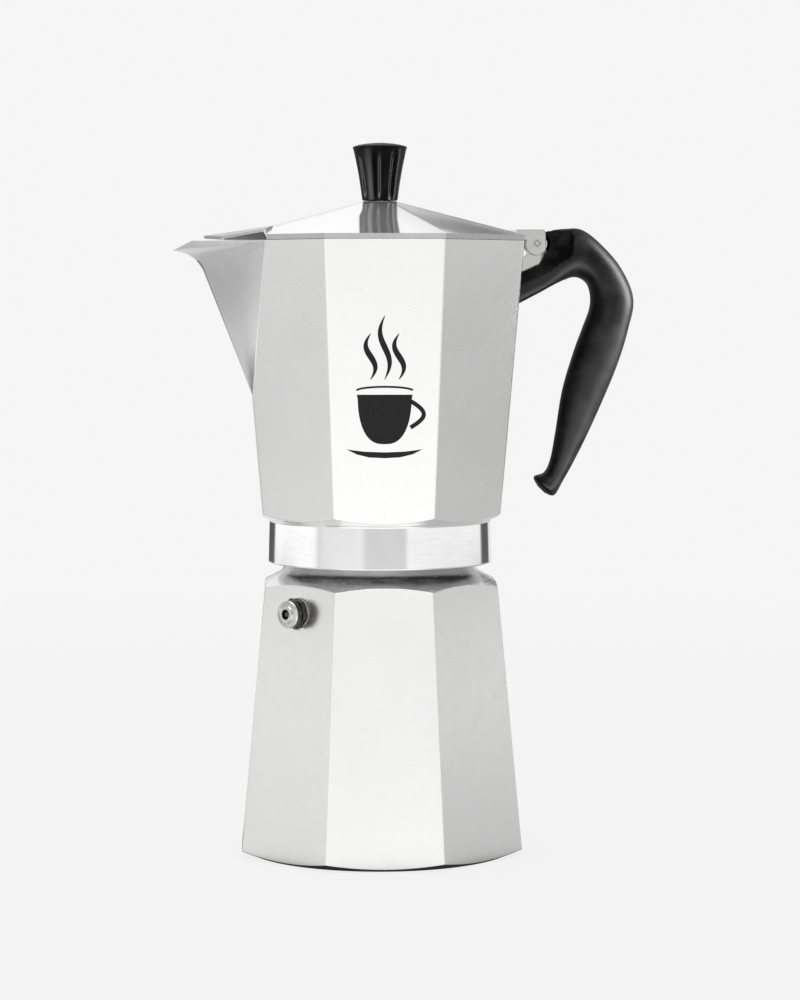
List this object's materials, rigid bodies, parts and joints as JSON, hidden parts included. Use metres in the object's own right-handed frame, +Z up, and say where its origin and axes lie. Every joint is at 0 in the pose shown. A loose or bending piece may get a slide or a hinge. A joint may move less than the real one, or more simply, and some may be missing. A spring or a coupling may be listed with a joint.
{
  "type": "moka pot",
  "caption": "Stovetop moka pot with an eight-sided boiler and upper vessel, hinged lid with knob, pouring spout, curved handle, funnel basket and safety valve.",
  "frame": {"origin": "centre of the flat underside of the boiler, on the pot's axis", "axes": "+Z up along the pot's axis, +X towards the handle, -X towards the spout"},
  "size_m": [0.1894, 0.1148, 0.29],
  "materials": {
    "satin_aluminium": "satin casting",
    "polished_aluminium": "polished casting",
    "pressed_aluminium": "pressed sheet",
    "fibre_washer": "pressed fibre",
    "dark_brass": "darkened, turned",
    "valve_ring": "nickel-plated",
    "valve_brass": "turned",
    "black_rubber": "matte",
    "gasket_rubber": "matte silicone",
    "steel": "plain",
    "black_phenolic": "semi-gloss moulded"
  },
  "bodies": {
    "boiler": {"boiler": "satin_aluminium", "valve_washer": "fibre_washer", "valve_body": "dark_brass", "valve_cap": "valve_ring"},
    "plunger": {"valve_plunger": "valve_brass", "valve_seal": "black_rubber", "valve_spring": "steel"},
    "funnel": {"funnel": "pressed_aluminium", "funnel_plate": "pressed_aluminium"},
    "seal": {"gasket": "gasket_rubber", "filter_plate": "pressed_aluminium"},
    "upper": {"upper_body": "polished_aluminium", "column": "satin_aluminium", "handle": "black_phenolic", "handle_screw": "steel", "hinge_pin": "steel"},
    "lid": {"lid": "polished_aluminium", "knob": "black_phenolic", "knob_insert": "valve_brass", "knob_screw": "steel", "knob_washer": "steel"}
  },
  "joints": [
    {"name": "valve_lift", "type": "slide", "parent": "boiler", "child": "plunger", "axis": [-0.7071, -0.7071, 0], "range_m": [0, 0.0012], "stiffness_N_per_m": 300, "springref_m": -0.003},
    {"name": "funnel_lift", "type": "slide", "parent": "boiler", "child": "funnel", "axis": [0, 0, 1], "range_m": [0, 0.12]},
    {"name": "unscrew_rise", "type": "slide", "parent": "funnel", "child": "seal", "axis": [0, 0, 1], "range_m": [0, 0.0131]},
    {"name": "unscrew_turn", "type": "hinge", "parent": "seal", "child": "upper", "pos_m": [0, 0, 0.125], "axis": [0, 0, 1], "range_deg": [0, 1170]},
    {"name": "lid_hinge", "type": "hinge", "parent": "upper", "child": "lid", "pos_m": [0.0639, 0, 0.2491], "axis": [0, 1, 0], "range_deg": [0, 100]}
  ],
  "couplings": [
    {"joint": "unscrew_rise", "follows": "unscrew_turn", "m_per_rad": 0.00063662}
  ]
}
